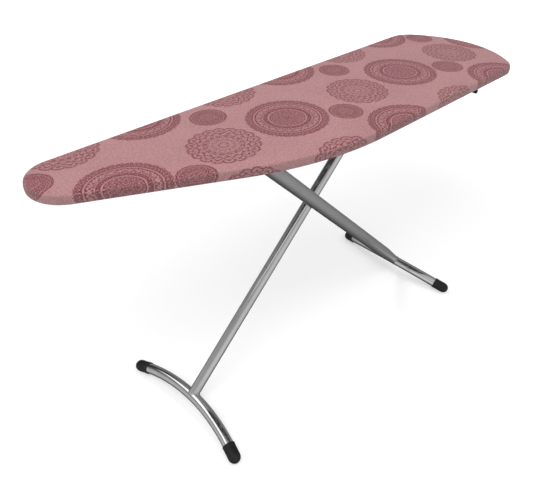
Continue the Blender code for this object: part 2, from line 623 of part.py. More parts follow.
# ---------------------------------------------------------------- height lever
# a rod along the near rail, cranked out to a grip that is reached at the tail's near edge
KEEP_X0, KEEP_X1 = SLOT_X0 - 4.0, SLOT_X1 + 1.0
BRACKET_X = (KEEP_X0 - 8.0, RAIL_X1 - 14.0)
crank = [Vector((BRACKET_X[0] - 9.0, ROD_Y, ROD_Z)), Vector((700.0, ROD_Y, ROD_Z)), Vector((BRACKET_X[1] + 3.0, ROD_Y, ROD_Z))]
R_BEND = 16.0
bend_c = Vector((BRACKET_X[1] + 3.0, ROD_Y - R_BEND))
for k in range(1, 8):
    a = math.radians(90 - 80 * k / 7)
    crank.append(Vector((bend_c.x + R_BEND * math.cos(a), bend_c.y + R_BEND * math.sin(a), ROD_Z - 0.25 * k)))
lean = Vector((-math.sin(math.radians(-10)), -math.cos(math.radians(-10)), -0.085))
for s in (14.0, 80.0):
    crank.append(crank[9] + lean * s)
release_rod = wire("release_rod", [at(*p) for p in crank], ROD_D, 2, "zinc")
grip_end = crank[-1]
grip_axis = -lean.normalized()
turned("release_grip",
       [(0, -6.0), (4.6, -5.2), (6.2, -3.0), (6.6, 0.0), (6.2, 8.0), (5.4, 24.0), (6.0, 44.0), (6.8, 50.0), (6.4, 53.0),
        (ROD_D / 2 + GAP + 0.1, 53.0), (ROD_D / 2 + GAP + 0.1, -1.0), (0, -1.0)],
       at(*grip_end), grip_axis, "black_plastic", 16)
keeper_top = PIVOT_Z - PIN_D / 2 - 0.9
box("keeper_strip", at(KEEP_X0, ROD_Y + ROD_D / 2 + GAP, keeper_top - 1.6), at(KEEP_X1, RAIL_IN_NEAR - RAIL_T - 0.9, keeper_top), "zinc")

for name, x in (("rod_bracket_front", BRACKET_X[0]), ("rod_bracket_rear", BRACKET_X[1])):
    top = RAIL_TOP - RAIL_T - GAP
    arms = [(-ROD_Y - 9, ROD_Z - 6), (-ROD_Y - 3, ROD_Z - 9), (-ROD_Y + 4, ROD_Z - 9), (-ROD_Y + 9, ROD_Z - 4), (-ROD_Y + 9, ROD_Z + 6),
            (RAIL_FLANGE - RAIL_IN_NEAR - 0.6, top), (-RAIL_IN_NEAR + RAIL_T + GAP, top), (-RAIL_IN_NEAR + RAIL_T + GAP, ROD_Z + 8)]
    bore = [(-ROD_Y + (ROD_D / 2 + GAP + 0.15) * math.cos(math.radians(30 * k + 15)),
             ROD_Z + (ROD_D / 2 + GAP + 0.15) * math.sin(math.radians(30 * k + 15))) for k in range(12)]
    flat_piece(name, [arms, bore], 2.4, Matrix.Translation(at(x, 0, 0)) @ YZ, "zinc")

# torsion spring round the rod, beside the rear bracket
COILS, WIRE_D, COIL_R = 5, 1.4, ROD_D / 2 + 0.7 + 0.5
points = []
steps = 12
for k in range(COILS * steps + 1):
    a = 2 * math.pi * k / steps
    points.append(at(KEEP_X1 + 3.0 + 2.2 * k / steps, ROD_Y + COIL_R * math.cos(a), ROD_Z + COIL_R * math.sin(a)))
wire("return_spring", points, WIRE_D, 1, "spring_steel")

# ---------------------------------------------------------------- parenting to the joint axes
riders = {
    "axis_leg_fold": ["wide_leg", "tail_foot", "tail_cap_near", "tail_cap_far", "crossing_nut", "crossing_bolt"],
    "axis_leg_crossing": ["slim_leg", "nose_foot", "nose_cap_near", "nose_cap_far", "slide_pin", "pin_cap",
                          "pin_spacer_near", "pin_spacer_far", "crossing_washer"],
    "axis_release_lever": ["release_rod", "release_grip", "keeper_strip"],
}
bpy.context.view_layer.update()
for axis, names in riders.items():
    for n in names:
        o = bpy.data.objects[n]
        o.parent = joints[axis]
        o.matrix_parent_inverse = joints[axis].matrix_world.inverted()
bpy.context.view_layer.update()
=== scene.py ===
"""Looks of the ironing board: a printed cotton cover on a felt pad, bright plated tubes, black caps.

Everything is in metres in the part's frame: +X from nose to tail, +Y across, Z = 0 on the floor.
"""

import math

import bmesh
import bpy
import numpy as np
from mathutils import Matrix, Vector, geometry, noise


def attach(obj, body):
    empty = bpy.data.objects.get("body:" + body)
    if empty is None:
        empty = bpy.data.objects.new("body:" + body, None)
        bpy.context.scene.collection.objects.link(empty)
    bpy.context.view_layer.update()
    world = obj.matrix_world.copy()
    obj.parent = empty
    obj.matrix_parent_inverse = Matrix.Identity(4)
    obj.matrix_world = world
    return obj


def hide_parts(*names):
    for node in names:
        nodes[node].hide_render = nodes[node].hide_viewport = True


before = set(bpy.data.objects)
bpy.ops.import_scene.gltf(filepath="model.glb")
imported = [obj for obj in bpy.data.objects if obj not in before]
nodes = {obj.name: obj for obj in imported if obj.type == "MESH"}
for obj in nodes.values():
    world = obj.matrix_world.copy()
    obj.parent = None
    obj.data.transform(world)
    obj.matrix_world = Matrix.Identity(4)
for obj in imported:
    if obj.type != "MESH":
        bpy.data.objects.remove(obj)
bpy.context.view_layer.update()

MM = 0.001
X_SHIFT = 488.7          # middle of the nose foot to the middle of the bounding box
WORK_H = 752.5
WIDE_DIR = Vector((math.cos(math.radians(45.22)), 0, -math.sin(math.radians(45.22))))
SLIM_DIR = Vector((-math.cos(math.radians(44.34)), 0, -math.sin(math.radians(44.34))))
AXLE = Vector((-0.2380, 0, 0.7085))
PIN = Vector((0.2204, 0, 0.7085))
WIDE_Y, SLIM_Y = -0.0263, -0.0014
FOOT_SPAN, FOOT_RISE, CAP_Z = 0.196, 0.0357, 0.0175
FOOT_R = (FOOT_SPAN ** 2 + FOOT_RISE ** 2) / (2 * FOOT_RISE)
FOOT_TUBE = 0.015


def at(x, y, z):
    """A point in mm from the middle of the nose foot, in metres in the part's frame."""
    return Vector(((x - X_SHIFT) * MM, y * MM, z * MM))


# ------------------------------------------------------------------ camera, before anything else
scene = bpy.context.scene
cam_data = bpy.data.cameras.new("camera")
cam = bpy.data.objects.new("camera", cam_data)
scene.collection.objects.link(cam)
scene.camera = cam
yaw, pitch, roll = math.radians(46.167), math.radians(36.476), math.radians(-0.034)
forward = Vector((math.cos(pitch) * math.cos(yaw), math.cos(pitch) * math.sin(yaw), -math.sin(pitch)))
cam.location = (-1.0190, -0.9157, 1.3483)
cam.rotation_mode = "QUATERNION"
cam.rotation_quaternion = forward.to_track_quat("-Z", "Y") @ Matrix.Rotation(roll, 3, "Z").to_quaternion()
cam_data.sensor_width = 36.0
cam_data.sensor_fit = "HORIZONTAL"
cam_data.lens = 588.54 * 36.0 / 533.0
cam_data.shift_x = -(276.28 - 266.5) / 533.0
cam_data.shift_y = (239.47 - 239.5) / 533.0
cam_data.clip_start, cam_data.clip_end = 0.05, 60.0


# ------------------------------------------------------------------ node helpers
class Tree:
    """Builds a node tree. Sockets go in as values or as other nodes' outputs."""

    def __init__(self, tree):
        self.t = tree

    def node(self, kind, **props):
        n = self.t.nodes.new(kind)
        for k, v in props.items():
            setattr(n, k, v)
        return n

    def put(self, socket, value):
        if isinstance(value, bpy.types.NodeSocket):
            self.t.links.new(value, socket)
        elif value is not None:
            socket.default_value = value

    def math(self, op, a, b=None, c=None, clamp=False):
        n = self.node("ShaderNodeMath", operation=op, use_clamp=clamp)
        for s, v in zip(n.inputs, (a, b, c)):
            self.put(s, v)
        return n.outputs[0]

    def vmath(self, op, a, b=None, scale=None):
        n = self.node("ShaderNodeVectorMath", operation=op)
        self.put(n.inputs[0], a)
        if b is not None:
            self.put(n.inputs[1], b)
        if scale is not None:
            self.put(n.inputs["Scale"], scale)
        return n.outputs["Value" if op in ("LENGTH", "DOT_PRODUCT", "DISTANCE") else "Vector"]

    def add(self, *xs):
        out = xs[0]
        for x in xs[1:]:
            out = self.math("ADD", out, x)
        return out

    def mul(self, *xs):
        out = xs[0]
        for x in xs[1:]:
            out = self.math("MULTIPLY", out, x)
        return out

    def smooth(self, value, low, high, to_low=0.0, to_high=1.0):
        n = self.node("ShaderNodeMapRange", interpolation_type="SMOOTHSTEP")
        for s, v in zip(n.inputs, (value, low, high, to_low, to_high)):
            self.put(s, v)
        return n.outputs[0]

    def line(self, value, centre, half):
        """1 on a line where value is centre, falling to 0 half a width away."""
        return self.smooth(self.math("ABSOLUTE", self.math("SUBTRACT", value, centre)), half * 0.45, half, 1.0, 0.0)

    def mix(self, factor, a, b, clamp=True):
        n = self.node("ShaderNodeMix", data_type="RGBA")
        self.put(n.inputs["Factor"], factor)
        n.clamp_factor = clamp
        self.put(n.inputs[6], a)
        self.put(n.inputs[7], b)
        return n.outputs[2]

    def noise(self, vector, scale, detail=2.0, rough=0.5, dims="3D"):
        n = self.node("ShaderNodeTexNoise", noise_dimensions=dims)
        self.put(n.inputs["Vector"], vector)
        n.inputs["Scale"].default_value = scale
        n.inputs["Detail"].default_value = detail
        n.inputs["Roughness"].default_value = rough
        return n.outputs["Fac"]

    def bump(self, height, strength, distance, normal=None):
        n = self.node("ShaderNodeBump")
        n.inputs["Strength"].default_value = strength
        n.inputs["Distance"].default_value = distance
        self.put(n.inputs["Height"], height)
        self.put(n.inputs["Normal"], normal)
        return n.outputs[0]


def new_material(name):
    m = bpy.data.materials.new(name)
    m.use_nodes = True
    t = Tree(m.node_tree)
    return m, t, m.node_tree.nodes["Principled BSDF"]


def object_coordinates(t):
    return t.node("ShaderNodeTexCoord").outputs["Object"]


def stretched(t, vector, scales):
    return t.vmath("MULTIPLY", vector, scales)


# ------------------------------------------------------------------ the cover's print
# centre x, centre y, half size along x, half size across, in mm on the flat cut
BIG = [(-66.2, -8.4, 98, 98), (383.4, -2.1, 100.7, 98.8), (818.7, -6.4, 96.7, 101.8), (1219.0, 4.0, 90, 100),
       (118.2, 228.7, 100, 100), (575.2, 227.7, 100, 100), (1001.0, 227.7, 91, 100),
       (573.6, -219.1, 99, 100), (1003.2, -220.2, 93, 100)]
DOILY = [(185.7, -5.4, 83.6, 82.2), (629.3, -11.2, 77.1, 80.9), (1051.4, -12.6, 70.5, 81.2),
         (-85.9, 215.9, 83, 83), (366.2, 215.9, 82, 83), (807.1, 212.1, 78, 83),
         (136.0, -194.0, 83, 83), (364.6, -233.0, 83, 83), (799.6, -237.9, 76, 81)]
DISC = [(248.9, 129.4, 46, 43.7), (694.9, 127.5, 42.1, 43.9), (1099.0, 127.0, 38, 43), (-192.5, 127.5, 44, 44),
        (63.3, -69.1, 44.2, 44.2), (511.4, -74.2, 41.5, 43.7), (947.5, -75.3, 42.9, 44.7)]


def medallion_group():
    """One medallion's place: a vector in units of its radius inside it, and its mask."""
    g = bpy.data.node_groups.new("medallion_place", "ShaderNodeTree")
    g.interface.new_socket("Point", in_out="INPUT", socket_type="NodeSocketVector")
    g.interface.new_socket("Centre", in_out="INPUT", socket_type="NodeSocketVector")
    g.interface.new_socket("Per radius", in_out="INPUT", socket_type="NodeSocketVector")
    g.interface.new_socket("So far", in_out="INPUT", socket_type="NodeSocketVector")
    g.interface.new_socket("Mask so far", in_out="INPUT", socket_type="NodeSocketFloat")
    g.interface.new_socket("Sum", in_out="OUTPUT", socket_type="NodeSocketVector")
    g.interface.new_socket("Mask", in_out="OUTPUT", socket_type="NodeSocketFloat")
    t = Tree(g)
    i, o = t.node("NodeGroupInput"), t.node("NodeGroupOutput")
    v = t.vmath("MULTIPLY", t.vmath("SUBTRACT", i.outputs[0], i.outputs[1]), i.outputs[2])
    mask = t.math("LESS_THAN", t.vmath("LENGTH", v), 1.06)
    t.put(o.inputs[0], t.vmath("ADD", i.outputs[3], t.vmath("SCALE", v, scale=mask)))
    t.put(o.inputs[1], t.math("ADD", i.outputs[4], mask))
    return g


def medallions(t, point, places, group):
    total, mask = (0, 0, 0), 0.0
    for x, y, rx, ry in places:
        n = t.node("ShaderNodeGroup", node_tree=group)
        t.put(n.inputs[0], point)
        n.inputs[1].default_value = (x * MM, y * MM, 0)
        n.inputs[2].default_value = (1 / (rx * MM), 1 / (ry * MM), 0)
        t.put(n.inputs[3], total)
        t.put(n.inputs[4], mask)
        total, mask = n.outputs[0], n.outputs[1]
    return total, mask


def polar(t, vector, mask):
    """Radius, which is 2 outside every medallion, and angle."""
    sep = t.node("ShaderNodeSeparateXYZ")
    t.put(sep.inputs[0], vector)
    r = t.math("ADD", t.vmath("LENGTH", vector), t.math("MULTIPLY_ADD", mask, -2.0, 2.0))
    return r, t.math("ARCTAN2", sep.outputs["Y"], sep.outputs["X"])


def wave(t, angle, times, phase=0.0):
    """cos(times * angle + phase)"""
    return t.math("COSINE", t.math("MULTIPLY_ADD", angle, float(times), phase))


def fabric_material():
    m, t, b = new_material("cover_print")
    uv = t.node("ShaderNodeUVMap", uv_map="flat_cut").outputs[0]
    group = medallion_group()
    # a small wander keeps the print from looking ruled
    wander = t.node("ShaderNodeTexNoise")
    t.put(wander.inputs["Vector"], uv)
    wander.inputs["Scale"].default_value = 9.0
    p = t.vmath("ADD", uv, t.vmath("SCALE", t.vmath("SUBTRACT", wander.outputs["Color"], (0.5, 0.5, 0.5)), scale=0.0016))

    # threads: two crossing sets of slubs, and the weave itself
    slub_x = t.noise(stretched(t, uv, (55.0, 620.0, 1.0)), 1.0, 3.0, 0.6)
    slub_y = t.noise(stretched(t, uv, (620.0, 55.0, 1.0)), 1.0, 3.0, 0.6)
    mottle = t.noise(uv, 210.0, 3.0, 0.65)
    cloud = t.noise(uv, 7.0, 2.0, 0.5)
    heather = t.add(t.mul(slub_x, 0.5), t.mul(slub_y, 0.4), t.mul(mottle, 1.0), -0.95)

    # big medallion: toothed dark rim, rings, a lace band and a dark heart with a rosette
    v, mask = medallions(t, p, BIG, group)
    r, a = polar(t, v, mask)
    teeth = t.mul(t.math("ADD", wave(t, a, 62), wave(t, a, 31, 0.7)), 0.011)
    big_edge = t.smooth(t.math("ADD", r, teeth), 1.01, 0.985)
    band_rim = t.smooth(r, 0.80, 0.815)
    beads = t.mul(t.smooth(wave(t, a, 56), 0.35, 0.75), t.line(r, 0.885, 0.032))
    petals = t.add(
        t.line(t.math("SUBTRACT", r, t.mul(t.math("ABSOLUTE", wave(t, a, 11)), 0.115)), 0.600, 0.024),
        t.line(t.math("SUBTRACT", r, t.mul(t.math("ABSOLUTE", wave(t, a, 11, math.pi / 2)), 0.095)), 0.635, 0.022),
        t.mul(t.smooth(wave(t, a, 44), 0.2, 0.7), t.line(r, 0.735, 0.024)),
        t.mul(t.smooth(wave(t, a, 22), 0.3, 0.8), t.line(r, 0.665, 0.03)))
    rings = t.add(t.line(r, 0.800, 0.021), t.mul(t.line(r, 0.590, 0.013), 0.7), t.line(r, 0.452, 0.022))
    heart = t.add(
        t.line(t.math("SUBTRACT", r, t.mul(t.math("ABSOLUTE", wave(t, a, 7)), 0.12)), 0.22, 0.017),
        t.line(t.math("SUBTRACT", r, t.mul(t.math("ABSOLUTE", wave(t, a, 5, 0.4)), 0.07)), 0.10, 0.015),
        t.mul(t.smooth(wave(t, a, 28), 0.3, 0.8), t.line(r, 0.395, 0.03)))
    dark_rings = t.add(t.line(r, 0.768, 0.022), t.mul(t.line(r, 0.522, 0.062), 0.6), t.line(r, 0.420, 0.018), t.mul(t.line(r, 0.835, 0.018), 0.6))
    grain = t.smooth(t.mul(t.math("SINE", t.mul(r, 88.0)), wave(t, a, 66)), -0.2, 0.6)
    lace_band = t.math("MULTIPLY", t.smooth(r, 0.57, 0.59), t.smooth(r, 0.745, 0.76, 1.0, 0.0))
    big = t.math("SUBTRACT", t.add(0.86, t.mul(band_rim, 0.06), t.mul(dark_rings, 0.45), t.mul(lace_band, 0.10)),
                 t.add(t.mul(rings, 0.92), t.mul(petals, 0.78), t.mul(beads, 0.50), t.mul(heart, 0.50), t.mul(grain, 0.38)))
    big = t.mul(big, big_edge)

    # doily: sixteen scallops, loops and a net, with the ground showing through
    v, mask = medallions(t, p, DOILY, group)
    r, a = polar(t, v, mask)
    lobe = t.math("ABSOLUTE", wave(t, a, 9))
    edge_r = t.math("MULTIPLY_ADD", t.math("SQRT", lobe), 0.10, 0.93)
    inside = t.smooth(t.math("SUBTRACT", r, edge_r), 0.0, -0.022)
    rim = t.line(t.math("SUBTRACT", r, edge_r), -0.045, 0.05)
    loops = t.add(
        t.line(t.math("SUBTRACT", r, t.mul(lobe, 0.10)), 0.735, 0.028),
        t.line(t.math("SUBTRACT", r, t.mul(t.math("ABSOLUTE", wave(t, a, 9, math.pi / 2)), 0.12)), 0.60, 0.026),
        t.line(t.math("SUBTRACT", r, t.mul(t.math("ABSOLUTE", wave(t, a, 8)), 0.16)), 0.38, 0.028),
        t.line(t.math("SUBTRACT", r, t.mul(t.math("ABSOLUTE", wave(t, a, 8, math.pi / 2)), 0.10)), 0.22, 0.026),
        t.line(r, 0.13, 0.024), t.mul(t.line(r, 0.545, 0.02), 0.8),
        t.mul(t.smooth(wave(t, a, 36), 0.1, 0.6), t.line(r, 0.86, 0.045)),
        t.mul(t.smooth(wave(t, a, 18), 0.2, 0.7), t.line(r, 0.67, 0.04)),
        t.mul(t.smooth(wave(t, a, 16), 0.2, 0.7), t.line(r, 0.46, 0.04)))
    net = t.smooth(t.mul(t.math("SINE", t.mul(r, 66.0)), wave(t, a, 24)), -0.1, 0.5)
    doily = t.math("MINIMUM", t.add(0.04, t.mul(rim, 0.58), t.mul(loops, 0.80), t.mul(net, 0.40)), 1.05)
    doily = t.mul(doily, inside)

    # disc: a speckled dark disc with a thin outline
    v, mask = medallions(t, p, DISC, group)
    r, a = polar(t, v, mask)
    disc_edge = t.smooth(t.math("ADD", r, t.mul(wave(t, a, 40), 0.008)), 1.01, 0.975)
    speck = t.smooth(t.mul(t.math("SINE", t.mul(r, 46.0)), wave(t, a, 20)), 0.1, 0.75)
    disc = t.math("SUBTRACT", t.add(0.81, t.mul(t.line(r, 0.93, 0.055), 0.25)),
                  t.add(t.mul(t.line(r, 0.845, 0.03), 0.42), t.mul(speck, 0.50), t.mul(t.smooth(r, 0.40, 0.1), 0.12),
                        t.mul(t.line(r, 0.36, 0.04), 0.3)))
    disc = t.mul(disc, disc_edge)

    ink = t.math("MAXIMUM", t.math("MAXIMUM", big, doily), disc)
    worn = t.math("MULTIPLY_ADD", t.math("SUBTRACT", t.noise(uv, 330.0, 2.0, 0.65), 0.5), 5.6, 1.0)
    ink = t.math("MULTIPLY", ink, worn, clamp=True)

    ground = t.mix(t.smooth(cloud, 0.3, 0.7), (*GROUND_A, 1), (*GROUND_B, 1))
    colour = t.mix(ink, ground, (*INK, 1), clamp=False)
    # stitching along the hem, and painted shade on the side band: the cloth darker below the top's edge and along the
    # bend where it turns under, and tinted grey
    side = t.node("ShaderNodeUVMap", uv_map="along_hem").outputs[0]
    sep = t.node("ShaderNodeSeparateXYZ")
    t.put(sep.inputs[0], side)
    along, down = sep.outputs["X"], sep.outputs["Y"]
    stitch = t.mul(t.line(down, 0.0405, 0.0006), t.smooth(t.math("SINE", t.mul(along, 2 * math.pi / 0.0034)), -0.35, 0.05))
    # painted shade: everything more than 6 mm past the top's edge is darkened by a fifth
    painted_band_shade = t.mul(t.smooth(down, 0.0, 0.006), 0.20)
    # painted shade: a darker line along the bend where the cloth turns under the rim
    painted_bend_shade = t.mul(t.line(down, 0.0235, 0.0035), 0.35)
    shade = t.math("SUBTRACT", 1.0, t.math("MAXIMUM", painted_band_shade, painted_bend_shade))
    # painted shade: the band's colour is tinted a sixth towards grey-brown
    colour = t.mix(t.smooth(down, -0.004, 0.002), colour, t.mix(0.16, colour, (0.20, 0.17, 0.16, 1)))
    tone = t.math("MULTIPLY", shade, t.math("MULTIPLY_ADD", heather, 1.15, 1.0))
    hsv = t.node("ShaderNodeHueSaturation")
    t.put(hsv.inputs["Color"], colour)
    t.put(hsv.inputs["Value"], tone)
    colour = t.mix(stitch, hsv.outputs[0], (0.36, 0.22, 0.22, 1))
    t.put(b.inputs["Base Color"], colour)
    # the weave: warp and weft threads 1.1 mm apart
    sepu = t.node("ShaderNodeSeparateXYZ")
    t.put(sepu.inputs[0], uv)
    warp = t.math("SINE", t.mul(sepu.outputs["X"], 2 * math.pi / 0.0011))
    weft = t.math("SINE", t.mul(sepu.outputs["Y"], 2 * math.pi / 0.0011))
    height = t.add(t.mul(warp, weft, 0.5), t.mul(slub_x, 1.1), t.mul(slub_y, 0.9), t.mul(ink, 0.5), t.mul(stitch, 1.5))
    t.put(b.inputs["Normal"], t.bump(height, 0.32, 0.0006))
    t.put(b.inputs["Roughness"], t.math("MULTIPLY_ADD", mottle, 0.12, 0.80))
    b.inputs["Sheen Weight"].default_value = 0.25
    b.inputs["Sheen Roughness"].default_value = 0.45
    b.inputs["Sheen Tint"].default_value = (1.0, 0.86, 0.86, 1)
    b.inputs["Specular IOR Level"].default_value = 0.25
    return m


GROUND_A = (0.358, 0.180, 0.186)
GROUND_B = (0.384, 0.196, 0.202)
INK = (0.142, 0.020, 0.034)


# ------------------------------------------------------------------ metals and plastics
def tube_material(name, base, roughness, streak, tint=(1, 1, 1), wear=0.0, metallic=1.0):
    """Drawn tube: fine streaks along it, faint smudges and a little dust."""
    m, t, b = new_material(name)
    uv = t.node("ShaderNodeUVMap", uv_map="tube").outputs[0]      # x round the tube, y along it, in metres
    fine = t.noise(stretched(t, uv, (2600.0, 14.0, 1.0)), 1.0, 2.0, 0.6)
    broad = t.noise(stretched(t, uv, (420.0, 3.0, 1.0)), 1.0, 2.0, 0.5)
    smudge = t.noise(object_coordinates(t), 17.0, 4.0, 0.6)
    value = t.add(1.0 - streak * 0.9, t.mul(fine, streak), t.mul(broad, streak * 0.8))
    colour = t.mix(t.smooth(smudge, 0.42, 0.7), (*base, 1), tuple(c * 0.93 for c in base) + (1,))
    hsv = t.node("ShaderNodeHueSaturation")
    t.put(hsv.inputs["Color"], colour)
    t.put(hsv.inputs["Value"], value)
    t.put(b.inputs["Base Color"], hsv.outputs[0])
    b.inputs["Metallic"].default_value = metallic
    t.put(b.inputs["Roughness"], t.add(roughness, t.mul(fine, 0.05), t.mul(t.smooth(smudge, 0.45, 0.75), 0.07)))
    t.put(b.inputs["Normal"], t.bump(t.add(fine, t.mul(broad, 0.6)), 0.05, 0.0002))
    return m


def plated_material(name, base, roughness, metallic=1.0, grain=900.0, bump=0.12):
    """Zinc plating or powder coat: a fine orange peel and clouded tone."""
    m, t, b = new_material(name)
    co = object_coordinates(t)
    fine = t.noise(co, grain, 2.0, 0.6)
    cloud = t.noise(co, 26.0, 4.0, 0.55)
    spangle = t.node("ShaderNodeTexVoronoi")
    t.put(spangle.inputs["Vector"], co)
    spangle.inputs["Scale"].default_value = 260.0
    value = t.add(0.86, t.mul(cloud, 0.2), t.mul(fine, 0.08))
    hsv = t.node("ShaderNodeHueSaturation")
    hsv.inputs["Color"].default_value = (*base, 1)
    t.put(hsv.inputs["Value"], value)
    t.put(b.inputs["Base Color"], hsv.outputs[0])
    b.inputs["Metallic"].default_value = metallic
    t.put(b.inputs["Roughness"], t.add(roughness - 0.05, t.mul(cloud, 0.14), t.mul(spangle.outputs["Distance"], 0.02)))
    t.put(b.inputs["Normal"], t.bump(fine, bump, 0.0002))
    return m


def moulded_material(name, base, roughness):
    """Moulded plastic: a fine spark texture, smoother in places and lighter and dusty in others."""
    m, t, b = new_material(name)
    co = object_coordinates(t)
    fine = t.noise(co, 1500.0, 3.0, 0.6)
    rub = t.noise(co, 42.0, 4.0, 0.6)
    colour = t.mix(t.smooth(rub, 0.45, 0.72), (*base, 1), tuple(c * 1.7 + 0.004 for c in base) + (1,))
    t.put(b.inputs["Base Color"], colour)
    t.put(b.inputs["Roughness"], t.add(roughness - 0.06, t.mul(rub, 0.14), t.mul(fine, 0.05)))
    b.inputs["Specular IOR Level"].default_value = 0.42
    t.put(b.inputs["Normal"], t.bump(fine, 0.22, 0.0003))
    return m


def felt_material():
    m, t, b = new_material("needled_felt")
    co = object_coordinates(t)
    fibres = t.noise(t.vmath("MULTIPLY", co, (900.0, 300.0, 500.0)), 1.0, 4.0, 0.7)
    fleck = t.noise(co, 240.0, 3.0, 0.7)
    colour = t.mix(fibres, (0.58, 0.56, 0.52, 1), (0.78, 0.76, 0.72, 1))
    colour = t.mix(t.smooth(fleck, 0.62, 0.72), colour, (0.33, 0.32, 0.34, 1))
    t.put(b.inputs["Base Color"], colour)
    b.inputs["Sheen Weight"].default_value = 0.3
    t.put(b.inputs["Roughness"], t.math("MULTIPLY_ADD", fibres, 0.1, 0.9))
    t.put(b.inputs["Normal"], t.bump(t.add(fibres, fleck), 0.7, 0.0012))
    return m


def cord_material():
    m, t, b = new_material("elastic_cord")
    uv = t.node("ShaderNodeUVMap", uv_map="tube").outputs[0]
    sep = t.node("ShaderNodeSeparateXYZ")
    t.put(sep.inputs[0], uv)
    twist = t.math("SINE", t.add(t.mul(sep.outputs["Y"], 2400.0), t.mul(sep.outputs["X"], 2000.0)))
    twist2 = t.math("SINE", t.math("SUBTRACT", t.mul(sep.outputs["Y"], 2400.0), t.mul(sep.outputs["X"], 2000.0)))
    braid = t.math("MAXIMUM", twist, twist2)
    # painted shade: the cord is darker where the braid's height is low, in the grooves between strands
    t.put(b.inputs["Base Color"], t.mix(t.smooth(braid, -0.4, 1.0), (0.36, 0.34, 0.33, 1), (0.78, 0.76, 0.73, 1)))
    t.put(b.inputs["Roughness"], t.math("MULTIPLY_ADD", braid, 0.05, 0.8))
    t.put(b.inputs["Normal"], t.bump(braid, 0.6, 0.0004))
    return m


MAT = {
    "cover": fabric_material(),
    "felt": felt_material(),
    "cord": cord_material(),
    "chrome": tube_material("bright_tube", (0.83, 0.83, 0.84), 0.06, 0.04),
    "satin": tube_material("satin_tube", (0.66, 0.66, 0.665), 0.19, 0.06),
    "zinc": plated_material("zinc_plate", (0.62, 0.63, 0.64), 0.30),
    "paint": plated_material("graphite_coat", (0.050, 0.051, 0.054), 0.48, 0.0, 1400.0, 0.2),
    "black": moulded_material("black_moulding", (0.0065, 0.0065, 0.007), 0.36),
    "spring": plated_material("spring_wire", (0.42, 0.42, 0.43), 0.25, 1.0, 1800.0, 0.05),
}


def dress(obj, mat):
    obj.data.materials.clear()
    obj.data.materials.append(MAT[mat])


for names, mat in (
    (["crossbar_1", "crossbar_2", "crossbar_3", "crossbar_4", "crossbar_5", "rim_frame"], "paint"),
    (["rail_near", "rail_far", "leg_axle", "axle_cap", "slide_pin", "pin_cap", "crossing_bolt", "crossing_nut",
      "rod_bracket_front", "rod_bracket_rear", "keeper_strip", "release_rod"], "zinc"),
    (["return_spring"], "spring"),
    (["axle_spacer_near", "axle_spacer_far", "pin_spacer_near", "pin_spacer_far", "crossing_washer",
      "release_grip"], "black"),
):
    for n in names:
        dress(nodes[n], mat)


# ------------------------------------------------------------------ mesh helpers
def finish_mesh(name, bm, mat, body, smooth=45, replaces=()):
    bmesh.ops.recalc_face_normals(bm, faces=bm.faces)
    me = bpy.data.meshes.new(name)
    bm.to_mesh(me)
    bm.free()
    me.shade_smooth()
    me.set_sharp_from_angle(angle=math.radians(smooth))
    me.materials.append(MAT[mat])
    o = bpy.data.objects.new(name, me)
    scene.collection.objects.link(o)
    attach(o, body)
    if replaces:
        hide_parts(*replaces)
    return o


def loft(bm, rings, closed=False, cap_start=False, cap_end=False, uvs=None):
    """Quads between rings of vertices. uvs gives each ring's uv row, with one more entry than the ring."""
    layer = bm.loops.layers.uv.get("tube") or bm.loops.layers.uv.new("tube")
    n = len(rings[0])
    pairs = list(zip(rings, rings[1:])) + ([(rings[-1], rings[0])] if closed else [])
    for k, (a, b) in enumerate(pairs):
        for i in range(n):
            j = (i + 1) % n
            f = bm.faces.new((a[i], a[j], b[j], b[i]))
            if uvs:
                ua, ub = uvs[k], uvs[(k + 1) % len(uvs)]
                for l, value in zip(f.loops, (ua[i], ua[i + 1], ub[i + 1], ub[i])):
                    l[layer].uv = value
    if cap_start:
        bm.faces.new(rings[0])
    if cap_end:
        bm.faces.new(rings[-1])


def sweep(bm, points, radius, segments=32, oval=(1.0, 1.0), side=None, caps=True, closed=False):
    """A tube along points. side is the direction of the section's first axis."""
    rings, uvs, length = [], [], 0.0
    n = len(points)
    u = None
    for k, p in enumerate(points):
        if closed:
            d = (points[(k + 1) % n] - points[k - 1]).normalized()
        else:
            d = (points[min(k + 1, n - 1)] - points[max(k - 1, 0)]).normalized()
        if side is not None:
            u = (side - d * side.dot(d)).normalized()
        elif u is None:
            u = d.orthogonal().normalized()
        else:
            u = (u - d * u.dot(d)).normalized()
        w = d.cross(u)
        r = radius[k] if isinstance(radius, (list, tuple)) else radius
        ring = []
        for i in range(segments):
            a = 2 * math.pi * i / segments
            ring.append(bm.verts.new(p + u * (r * oval[0] * math.cos(a)) + w * (r * oval[1] * math.sin(a))))
        rings.append(ring)
        if k:
            length += (p - points[k - 1]).length
        uvs.append([(2 * math.pi * r * i / segments, length) for i in range(segments + 1)])
    loft(bm, rings, closed=closed, cap_start=caps and not closed, cap_end=caps and not closed, uvs=uvs)
    return rings


